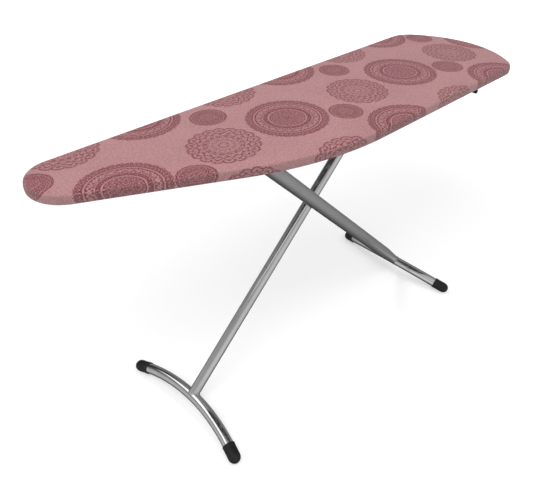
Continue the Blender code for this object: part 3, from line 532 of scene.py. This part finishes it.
def turned(bm, profile, origin, axis, segments, clamp_floor=False):
    """A solid of revolution. profile is a closed run of (radius, height) in metres."""
    axis = axis.normalized()
    u = axis.orthogonal().normalized()
    w = axis.cross(u)
    rings, uvs, length = [], [], 0.0
    for k, (r, h) in enumerate(profile):
        if k:
            length += math.dist(profile[k - 1], (r, h))
        if r == 0:
            rings.append([bm.verts.new(origin + axis * h)])
        else:
            rings.append([bm.verts.new(origin + axis * h + (u * math.cos(a) + w * math.sin(a)) * r)
                          for a in (2 * math.pi * i / segments for i in range(segments))])
        uvs.append(length)
    layer = bm.loops.layers.uv.get("tube") or bm.loops.layers.uv.new("tube")
    for k in range(len(rings) - 1):
        a, b = rings[k], rings[k + 1]
        for i in range(segments):
            j = (i + 1) % segments
            if len(a) == 1 and len(b) == 1:
                continue
            if len(a) == 1:
                f = bm.faces.new((a[0], b[j], b[i]))
            elif len(b) == 1:
                f = bm.faces.new((a[i], a[j], b[0]))
            else:
                f = bm.faces.new((a[i], a[j], b[j], b[i]))
            for l in f.loops:
                l[layer].uv = (0.1 * i / segments, uvs[k])
    if clamp_floor:
        for ring in rings:
            for v in ring:
                if v.co.z < 0.0012:
                    v.co.z = 0.0002 + max(0.0, v.co.z + 0.0008) * 0.5
    return rings


# ------------------------------------------------------------------ the board's outline
NOSE_X, FAR_Y, NEAR_Y, NOSE_CORNER_Y, TAPER_X, TAIL_CORNER_X = -203.4, 199.3, -195.8, 70.6, 318.5, 1099.0
TAIL_TIP = (1247.5, -13.7)
FILLETS = (88.3, 70.5, 94.0, 782.2, 59.6, 263.6)


def outline(spacing, nose_y=FAR_Y, tail_y=FAR_Y):
    """[(point, outward direction, distance round)] and the distance all round, in mm, about spacing apart."""
    corners = [Vector((TAIL_CORNER_X, tail_y)), Vector((NOSE_X, nose_y)), Vector((NOSE_X, NOSE_CORNER_Y)),
               Vector((TAPER_X, NEAR_Y)), Vector((TAIL_CORNER_X, NEAR_Y)), Vector(TAIL_TIP)]
    arcs = []
    for i, p in enumerate(corners):
        before, after = corners[i - 1], corners[(i + 1) % len(corners)]
        a, b = (before - p).normalized(), (after - p).normalized()
        half = a.angle(b) / 2
        radius = FILLETS[i] + (4.5 if i == 1 and nose_y > FAR_Y else 0.0)
        centre = p + (a + b).normalized() * radius / math.sin(half)
        start = p + a * radius / math.tan(half) - centre
        end = p + b * radius / math.tan(half) - centre
        t0 = math.atan2(start.y, start.x)
        turn = (math.atan2(end.y, end.x) - t0 + math.pi) % (2 * math.pi) - math.pi
        arcs.append((centre, radius, t0, turn))
    found = []
    for i, (centre, radius, t0, turn) in enumerate(arcs):
        steps = max(6, int(abs(turn) * radius / spacing))
        for k in range(steps + 1):
            a = t0 + turn * k / steps
            d = Vector((math.cos(a), math.sin(a)))
            found.append((centre + d * radius, d))
        nc, nr, nt, _ = arcs[(i + 1) % len(arcs)]
        last, first = found[-1][0], nc + Vector((math.cos(nt), math.sin(nt))) * nr
        span = (first - last).length
        steps = int(span / (spacing * 1.6))
        d = found[-1][1]
        for k in range(1, steps):
            found.append((last.lerp(first, k / steps), d))
    out, length = [], 0.0
    for i, (p, d) in enumerate(found):
        if i:
            length += (p - found[i - 1][0]).length
        out.append((p, d, length))
    return out, length + (found[0][0] - found[-1][0]).length


def hold(value, low, high):
    return min(max(value, low), high)


def ease(value, low, high):
    t = hold((value - low) / (high - low), 0.0, 1.0)
    return t * t * (3 - 2 * t)


def gather(length, total):
    """The hem's puckers: a wave round the hem whose pitch wanders, from -1 to 1."""
    turn = 2 * math.pi * length / total
    pitch_wander = 2.4 * math.sin(turn * 3 + 0.6) + 1.7 * math.sin(turn * 7 + 2.1) + 0.9 * math.sin(turn * 17 + 0.2)
    wave_ = math.sin(turn * 208 + pitch_wander * 2.2)
    swell = 0.65 + 0.35 * math.sin(turn * 29 + 1.1) * math.sin(turn * 11)
    return wave_ * swell


EDGE, ROUND = outline(5.0, 204.3, 201.6)       # the cover is fuller than the rim on the far side
RIM, _ = outline(6.0)


def cover_piece():
    """The cotton cover: flat and faintly uneven on top, rounded over the rim, gathered underneath."""
    bm = bmesh.new()
    flat = bm.loops.layers.uv.new("flat_cut")
    hem = bm.loops.layers.uv.new("along_hem")
    # how far in from the outline, and how far down, from the top's margin to the hem's inner edge
    profile = [(40, 0), (32, 0), (24, 0), (17, -0.05), (12, -0.15), (8.6, -0.45), (6.0, -1.05), (4.1, -1.95), (2.7, -3.2),
               (1.65, -4.8), (0.95, -6.7), (0.5, -8.8), (0.2, -11.0), (0.05, -13.4), (0.0, -15.9), (0.0, -18.4), (0.0, -20.8),
               (0.1, -22.9), (0.4, -24.4), (1.0, -25.5), (2.0, -26.1), (3.5, -26.2), (5.8, -25.9), (8.4, -25.6), (11, -25.3),
               (13.6, -25.0), (16.0, -24.6), (18.2, -24.1), (19.6, -23.5)]
    arc = [0.0]
    for (d0, z0), (d1, z1) in zip(profile, profile[1:]):
        arc.append(arc[-1] + math.hypot(d1 - d0, z1 - z0))
    top_edge = arc[8]
    rings, flats = [], []
    for (inset, drop), s in zip(profile, arc):
        ring, row = [], []
        for p, d, length in EDGE:
            under = ease(inset, 4.0, 15.0) if s > 60 else 0.0
            g = gather(length, ROUND)
            z = drop + under * (g * 1.5 + 0.4)
            out_by = -inset - under * 0.8 * g
            # the band bellies very slightly between the rim's edges
            band = math.exp(-((drop + 14) / 6.0) ** 2) if s > top_edge else 0.0
            turn = 2 * math.pi * length / ROUND
            out_by += band * (0.35 + 0.3 * math.sin(turn * 23 + 1.3 * math.sin(turn * 5)))
            q = p + d * out_by
            v = bm.verts.new(at(q.x, q.y, WORK_H + z))
            ring.append(v)
            cut = p + d * (s - 40.0 + 0.3 * max(0.0, s - top_edge))
            row.append(((cut.x * MM, cut.y * MM), (length * MM, (s - top_edge) * MM)))
        rings.append(ring)
        flats.append(row)
    n = len(EDGE)
    where = {}
    for ring, row in zip(rings, flats):
        for v, value in zip(ring, row):
            where[v] = value
    for a, b in zip(rings, rings[1:]):
        for i in range(n):
            j = (i + 1) % n
            bm.faces.new((a[i], a[j], b[j], b[i]))
    # the flat middle: points 15 mm apart inside the first ring
    inner = [v.co.xy.copy() for v in rings[0]]
    low = Vector((min(p.x for p in inner), min(p.y for p in inner)))
    high = Vector((max(p.x for p in inner), max(p.y for p in inner)))
    grid, step = [], 0.015
    rows = int((high.y - low.y) / (step * 0.866)) + 1
    for r in range(rows):
        y = low.y + step * 0.866 * r
        crossings = []
        for i in range(n):
            p, q = inner[i], inner[(i + 1) % n]
            if (p.y - y) * (q.y - y) <= 0 and p.y != q.y:
                crossings.append(p.x + (q.x - p.x) * (y - p.y) / (q.y - p.y))
        if len(crossings) < 2:
            continue
        x0, x1 = min(crossings) + 0.007, max(crossings) - 0.007
        x = math.ceil(x0 / step) * step + (step / 2 if r % 2 else 0)
        while x < x1:
            point = Vector((x, y))
            if min((point - p).length for p in inner) > 0.006:
                grid.append(point)
            x += step
    verts = inner + grid
    found, _, faces, back, _, _ = geometry.delaunay_2d_cdt(verts, [(i, (i + 1) % n) for i in range(n)], [], 1, 1e-7)
    made = []
    for k, co in enumerate(found):
        source = back[k][0] if back[k] else None
        if source is not None and source < n:
            made.append(rings[0][source])
        else:
            v = bm.verts.new((co.x, co.y, WORK_H * MM))
            where[v] = ((co.x + X_SHIFT * MM, co.y), (0.0, -top_edge * MM))
            made.append(v)
    for f in faces:
        corners = [made[i] for i in f]
        if len(set(corners)) == 3:
            try:
                bm.faces.new(corners)
            except ValueError:
                pass
    # the padded top isn't a ruled plane
    for v in bm.verts:
        if v.co.z > (WORK_H - 3.0) * MM:
            n1 = noise.noise(Vector((v.co.x * 6.5, v.co.y * 9.0, 3.1)))
            n2 = noise.noise(Vector((v.co.x * 19.0, v.co.y * 23.0, 7.7)))
            depth = ease((v.co.z * 1000 - WORK_H), -3.0, -0.5)
            v.co.z -= depth * (0.35 + 0.45 * n1 + 0.22 * n2) * MM
    for f in bm.faces:
        for l in f.loops:
            a, b = where[l.vert]
            l[flat].uv = a
            l[hem].uv = b
        seam = [l[hem].uv.x for l in f.loops]
        if max(seam) - min(seam) > 0.5:
            for l in f.loops:
                if l[hem].uv.x < 0.5:
                    l[hem].uv.x += ROUND * MM
    o = finish_mesh("printed_cover", bm, "cover", "board", 60, ("cover",))
    # outward faces: the top looks up
    top = max(o.data.polygons, key=lambda f: f.area if f.center.z > 0.75 else 0)
    if top.normal.z < 0:
        o.data.flip_normals()
    m = o.modifiers.new("cloth", "SOLIDIFY")
    m.thickness, m.offset, m.use_even_offset = 0.0009, -1, False
    return o


cover = cover_piece()


def pad_piece():
    """The felt pad under the cover, from just above the plate to just below the cover."""
    bm = bmesh.new()
    profile = [(2.8, -8.2), (2.6, -7.3), (3.1, -6.2), (4.2, -5.0), (6.0, -3.9), (8.6, -3.0), (12.5, -2.3), (17, -1.95), (30, -1.9)]
    rings = []
    for inset, drop in profile:
        rings.append([bm.verts.new(at(*(p - d * inset), WORK_H + drop - (0.12 * math.sin(length * 0.09) if drop < -3 else 0)))
                      for p, d, length in EDGE])
    loft(bm, rings, cap_start=True, cap_end=True)
    o = finish_mesh("felt_pad", bm, "felt", "board", 60, ("pad",))
    return o


pad = pad_piece()


def drawcord():
    bm = bmesh.new()
    points = []
    for p, d, length in EDGE:
        q = p - d * (17.0 - 0.8 * gather(length, ROUND))
        points.append(at(q.x, q.y, WORK_H - 25.0 + 1.7 + 1.1 * gather(length, ROUND) + 0.9))
    sweep(bm, points, 0.00115, 10, closed=True)
    return finish_mesh("elastic_drawcord", bm, "cord", "board", 80, ("cover_drawcord",))


cord = drawcord()


# ------------------------------------------------------------------ plate with pressed vent holes
def plate_piece():
    cu = bpy.data.curves.new("vented_plate", "CURVE")
    cu.dimensions, cu.fill_mode = "2D", "BOTH"
    cu.extrude, cu.bevel_depth, cu.bevel_resolution = 0.00018, 0.00022, 1

    def loop(points):
        s = cu.splines.new("POLY")
        s.points.add(len(points) - 1)
        for q, (x, y) in zip(s.points, points):
            q.co = (x, y, 0, 1)
        s.use_cyclic_u = True

    loop([((p.x - d.x * 3.2 - X_SHIFT) * MM, (p.y - d.y * 3.2) * MM) for p, d, _ in RIM])
    edge = [p - d * 40.0 for p, d, _ in RIM]
    bars = (60.0, 232.0, 590.0, 944.0, 1090.0)

    def inside(x, y):
        odd = False
        for i in range(len(edge)):
            p, q = edge[i - 1], edge[i]
            if (p.y > y) != (q.y > y) and x < p.x + (q.x - p.x) * (y - p.y) / (q.y - p.y):
                odd = not odd
        return odd

    centres = []
    for column in range(18):
        for row in range(-3, 4):
            x, y = -140.0 + 78.0 * column, 68.0 * row + (34.0 if column % 2 else 0.0)
            if inside(x, y) and all(abs(x - b) > 23.0 for b in bars):
                centres.append((x, y))
                loop([((x - X_SHIFT + 10.2 * math.cos(a)) * MM, (y + 10.2 * math.sin(a)) * MM)
                      for a in (2 * math.pi * k / 28 for k in range(28))])
    o = bpy.data.objects.new("vented_plate_curve", cu)
    scene.collection.objects.link(o)
    bpy.context.view_layer.update()
    me = bpy.data.meshes.new_from_object(o.evaluated_get(bpy.context.evaluated_depsgraph_get()))
    bpy.data.objects.remove(o, do_unlink=True)
    bm = bmesh.new()
    bm.from_mesh(me)
    bpy.data.meshes.remove(me)
    bmesh.ops.remove_doubles(bm, verts=bm.verts, dist=0.000005)
    bmesh.ops.translate(bm, verts=bm.verts, vec=(0, 0, (WORK_H - 8.5 - 0.42) * MM))
    return finish_mesh("vented_plate", bm, "paint", "board", 40, ("board_plate",)), centres


plate, vents = plate_piece()


def vent_collars():
    """The pressed collars round the vent holes, turned down under the plate."""
    bm = bmesh.new()
    for x, y in vents:
        top = at(x, y, WORK_H - 9.35)
        run = [(0.0102, 0.0), (0.0103, -0.0009), (0.0106, -0.0015), (0.0111, -0.0017), (0.0114, -0.0014), (0.0118, -0.0006),
               (0.0126, 0.0), (0.0102, 0.0)]
        rings = []
        for r, h in run[:-1]:
            rings.append([bm.verts.new(top + Vector((r * math.cos(a), r * math.sin(a), h)))
                          for a in (2 * math.pi * i / 28 for i in range(28))])
        loft(bm, rings, closed=True)
    return finish_mesh("vent_collars", bm, "paint", "board", 60)


vent_collars()


# ------------------------------------------------------------------ tubes
def foot_point(pivot, direction, length):
    a = length / FOOT_R
    along = (pivot.z - CAP_Z) / -direction.z - (FOOT_RISE - FOOT_R * (1 - math.cos(a)))
    point = pivot + direction * along + Vector((0, FOOT_R * math.sin(a), 0))
    return point, (Vector((0, math.cos(a), 0)) + direction * math.sin(a)).normalized()


def foot_tube(name, pivot, direction, body, node):
    bm = bmesh.new()
    points = [foot_point(pivot, direction, 0.2 * (2 * k / 72 - 1))[0] for k in range(73)]
    normal = direction.cross(Vector((0, 1, 0))).normalized()
    sweep(bm, points, FOOT_TUBE, 64, side=normal)
    return finish_mesh(name, bm, "chrome", body, 50, (node,))


def foot_end(pivot, direction, across, out, half_thickness):
    """How far along the leg its wall meets the foot tube, for a wall point across (Y) and out of the plane."""
    apex = (pivot.z - CAP_Z) / -direction.z - FOOT_RISE
    n = min(abs(out), half_thickness)
    reach = FOOT_R + math.sqrt(max(FOOT_TUBE ** 2 - n * n, 0.0))
    return apex + FOOT_R - math.sqrt(max(reach ** 2 - across ** 2, 0.0))


def leg_tube(name, pivot, direction, y, half_plane, half_y, beyond, mat, body, node, swage=1.0):
    """A tube from just beyond its pivot to the foot. Its lower end is swaged in and coped to the foot tube."""
    bm = bmesh.new()
    segments, rows = 96, 40
    normal = direction.cross(Vector((0, 1, 0))).normalized()
    origin = Vector((pivot.x, y, pivot.z))
    outer_rings, uvs = [], []
    for k in range(rows + 1):
        ring, uv = [], []
        for i in range(segments + 1):
            a = 2 * math.pi * i / segments
            out, across = half_plane * math.cos(a), half_y * math.sin(a)
            end = foot_end(pivot, direction, y + across, out * swage, FOOT_TUBE - 0.0006)
            s = -beyond + (end + 0.0006 + beyond) * k / rows
            out *= 1.0 - (1.0 - swage) * ease(s, end - 0.11, end - 0.005)
            if i < segments:
                ring.append(bm.verts.new(origin + normal * out + Vector((0, across, 0)) + direction * s))
            uv.append((a * (half_plane + half_y) / 2, s))
        outer_rings.append(ring)
        uvs.append(uv)
    # the upper end turns in over a rounded lip, then the bore runs down and closes
    lip = [(0.0, 0.0), (0.0004, -0.0006), (0.0011, -0.0006), (0.0015, 0.0), (0.0015, 0.03)]
    inner = []
    for inset, s in lip[1:]:
        ring = []
        for i in range(segments):
            a = 2 * math.pi * i / segments
            ring.append(bm.verts.new(origin + normal * ((half_plane - inset) * math.cos(a))
                                     + Vector((0, (half_y - inset) * math.sin(a), 0)) + direction * (-beyond + s)))
        inner.append(ring)
    rings = list(reversed(inner)) + outer_rings
    uvs = [uvs[0]] * len(inner) + uvs
    loft(bm, rings, cap_start=True, cap_end=True, uvs=uvs)
    return finish_mesh(name, bm, mat, body, 50, (node,))


def weld_bead(name, pivot, direction, y, half_plane, half_y, size, body, mat):
    """The fillet weld round the leg where it meets its foot."""
    bm = bmesh.new()
    normal = direction.cross(Vector((0, 1, 0))).normalized()
    origin = Vector((pivot.x, y, pivot.z))
    points, radii = [], []
    count = 120
    for i in range(count):
        a = 2 * math.pi * i / count
        out, across = (half_plane + 0.0004) * math.cos(a), (half_y + 0.0004) * math.sin(a)
        end = foot_end(pivot, direction, y + across, out, FOOT_TUBE - 0.0008)
        points.append(origin + normal * out + Vector((0, across, 0)) + direction * (end - 0.0006))
        radii.append(size + 0.1 * size * math.sin(i * 2 * math.pi * 30 / count))
    sweep(bm, points, radii, 12, closed=True)
    return finish_mesh(name, bm, mat, body, 80)


foot_tube("tail_foot_tube", AXLE, WIDE_DIR, "wide_leg_assembly", "tail_foot")
foot_tube("nose_foot_tube", PIN, SLIM_DIR, "slim_leg_assembly", "nose_foot")
leg_tube("slim_leg_tube", PIN, SLIM_DIR, SLIM_Y, 0.01485, 0.01485, 0.012, "chrome", "slim_leg_assembly", "slim_leg")
leg_tube("wide_leg_tube", AXLE, WIDE_DIR, WIDE_Y, 0.0192, 0.0085, 0.009, "satin", "wide_leg_assembly", "wide_leg", 0.78)
weld_bead("nose_weld", PIN, SLIM_DIR, SLIM_Y, 0.01485, 0.01485, 0.0017, "slim_leg_assembly", "chrome")
weld_bead("tail_weld", AXLE, WIDE_DIR, WIDE_Y, 0.0192 * 0.78, 0.0085, 0.0011, "wide_leg_assembly", "satin")


def foot_cap(name, pivot, direction, side, body, node):
    bm = bmesh.new()
    mouth_at, depth, length, r = 0.181, 0.021, 0.0515, 0.0167
    middle, tangent = foot_point(pivot, direction, side * (mouth_at + depth / 2))
    tangent = tangent * side
    mouth = middle - tangent * depth / 2
    dome = 0.0179
    straight = length - dome
    run = [(0.0, depth), (0.0152, depth), (0.01525, 0.002), (0.0154, 0.0006), (0.0158, 0.0), (0.0166, 0.0), (0.01715, 0.0004),
           (0.0173, 0.0010), (0.0173, 0.0032), (0.0171, 0.0038), (0.01675, 0.0042), (r, 0.0050), (r, 0.012), (r, 0.020), (r, 0.028)]
    for k in range(15):
        a = math.radians(90 * k / 14)
        run.append((r * math.cos(a) if k < 14 else 0.0, straight + dome * math.sin(a)))
    turned(bm, run, mouth, tangent, 72, clamp_floor=True)
    return finish_mesh(name, bm, "black", body, 40, (node,))


foot_cap("tail_cap_near_moulding", AXLE, WIDE_DIR, -1, "wide_leg_assembly", "tail_cap_near")
foot_cap("tail_cap_far_moulding", AXLE, WIDE_DIR, 1, "wide_leg_assembly", "tail_cap_far")
foot_cap("nose_cap_near_moulding", PIN, SLIM_DIR, -1, "slim_leg_assembly", "nose_cap_near")
foot_cap("nose_cap_far_moulding", PIN, SLIM_DIR, 1, "slim_leg_assembly", "nose_cap_far")

# ------------------------------------------------------------------ floor, light, world
bm = bmesh.new()
bmesh.ops.create_grid(bm, x_segments=1, y_segments=1, size=30.0)
me = bpy.data.meshes.new("studio_floor")
bm.to_mesh(me)
bm.free()
floor = bpy.data.objects.new("studio_floor", me)
scene.collection.objects.link(floor)
floor_mat, t, b = new_material("studio_floor")
b.inputs["Base Color"].default_value = (0.60, 0.60, 0.60, 1)
b.inputs["Emission Color"].default_value = (1, 1, 1, 1)
away = t.vmath("LENGTH", object_coordinates(t))
t.put(b.inputs["Emission Strength"], t.smooth(away, 1.0, 3.2, 0.44, 0.95))
b.inputs["Roughness"].default_value = 0.9
b.inputs["Specular IOR Level"].default_value = 0.1
me.materials.append(floor_mat)
floor.visible_glossy = False
bm = bmesh.new()
bmesh.ops.create_uvsphere(bm, u_segments=64, v_segments=32, radius=28.0)
for f in bm.faces:
    f.normal_flip()
me = bpy.data.meshes.new("studio_backdrop")
bm.to_mesh(me)
bm.free()
backdrop = bpy.data.objects.new("studio_backdrop", me)
scene.collection.objects.link(backdrop)
backdrop_mat, t, b = new_material("studio_backdrop")
b.inputs["Base Color"].default_value = (0, 0, 0, 1)
b.inputs["Specular IOR Level"].default_value = 0.0
b.inputs["Emission Color"].default_value = (1, 1, 1, 1)
b.inputs["Emission Strength"].default_value = 1.0
me.materials.append(backdrop_mat)
# only the camera sees the backdrop, so the room behind it still lights the board
backdrop.visible_diffuse = backdrop.visible_glossy = backdrop.visible_transmission = backdrop.visible_shadow = False


def softbox(name, location, target, size, power, glossy):
    data = bpy.data.lights.new(name, "AREA")
    data.shape, data.size, data.size_y = "RECTANGLE", size[0], size[1]
    data.energy = power
    o = bpy.data.objects.new(name, data)
    scene.collection.objects.link(o)
    o.location = location
    o.rotation_mode = "QUATERNION"
    o.rotation_quaternion = (Vector(target) - Vector(location)).to_track_quat("-Z", "Y")
    o.visible_glossy = glossy
    return o


softbox("key", (-1.9, -0.9, 3.4), (0, 0, 0.5), (2.6, 2.6), 82, False)
softbox("fill", (1.6, -1.9, 3.2), (0, 0, 0.4), (3.0, 3.0), 42, False)
softbox("back", (0.6, 2.6, 3.4), (0, 0, 0.4), (1.1, 1.1), 34, False)

world = bpy.data.worlds.new("studio")
scene.world = world
world.use_nodes = True
t = Tree(world.node_tree)
background = world.node_tree.nodes["Background"]
direction = t.node("ShaderNodeTexCoord").outputs["Generated"]
sep = t.node("ShaderNodeSeparateXYZ")
t.put(sep.inputs[0], direction)
# the room by height: a pale floor that darkens straight below, walls, and a brighter ceiling
ramp = t.node("ShaderNodeValToRGB")
t.put(ramp.inputs[0], t.math("MULTIPLY_ADD", sep.outputs["Z"], 0.5, 0.5))
stops = [(0.0, 0.20), (0.10, 0.36), (0.20, 0.80), (0.32, 0.88), (0.45, 1.0), (0.55, 0.92), (0.66, 0.82), (0.73, 0.60), (0.795, 0.54), (0.825, 1.22), (1.0, 1.22)]
ramp.color_ramp.elements[0].position, ramp.color_ramp.elements[0].color = 0.0, (stops[0][1],) * 3 + (1,)
ramp.color_ramp.elements[1].position, ramp.color_ramp.elements[1].color = 1.0, (stops[-1][1],) * 3 + (1,)
for position, value in stops[1:-1]:
    e = ramp.color_ramp.elements.new(position)
    e.color = (value, value, value, 1)


def towards(azimuth, elevation=0.0):
    az, el = math.radians(azimuth), math.radians(elevation)
    return (math.cos(az) * math.cos(el), math.sin(az) * math.cos(el), math.sin(el))


# lit wall on the near side, a paler one to the left, a dark corner at the back
lit = t.mul(t.smooth(t.vmath("DOT_PRODUCT", direction, towards(-110)), -0.35, 0.85), 0.38)
left = t.mul(t.smooth(t.vmath("DOT_PRODUCT", direction, towards(158)), 0.62, 0.93), 0.27)
room = t.mul(ramp.outputs[0], t.add(0.23, lit, left))
# a rectangular softbox high at the back left, and a dark flag beneath it
across = t.vmath("DOT_PRODUCT", direction, towards(35))
upwards = t.vmath("DOT_PRODUCT", direction, towards(-55, 35))
box = t.mul(t.smooth(t.math("ABSOLUTE", across), 0.36, 0.40, 1.0, 0.0), t.smooth(t.math("ABSOLUTE", upwards), 0.19, 0.22, 1.0, 0.0),
            t.smooth(sep.outputs["Z"], 0.0, 0.1))
flag = t.mul(t.smooth(t.vmath("DOT_PRODUCT", direction, towards(90, 34)), 0.90, 0.96), 0.75)
level = t.add(t.mul(room, t.math("SUBTRACT", 1.0, flag)), t.mul(box, 1.05))
t.put(background.inputs["Color"], (1, 1, 1, 1))
t.put(background.inputs["Strength"], level)
scene.view_settings.view_transform = "Standard"
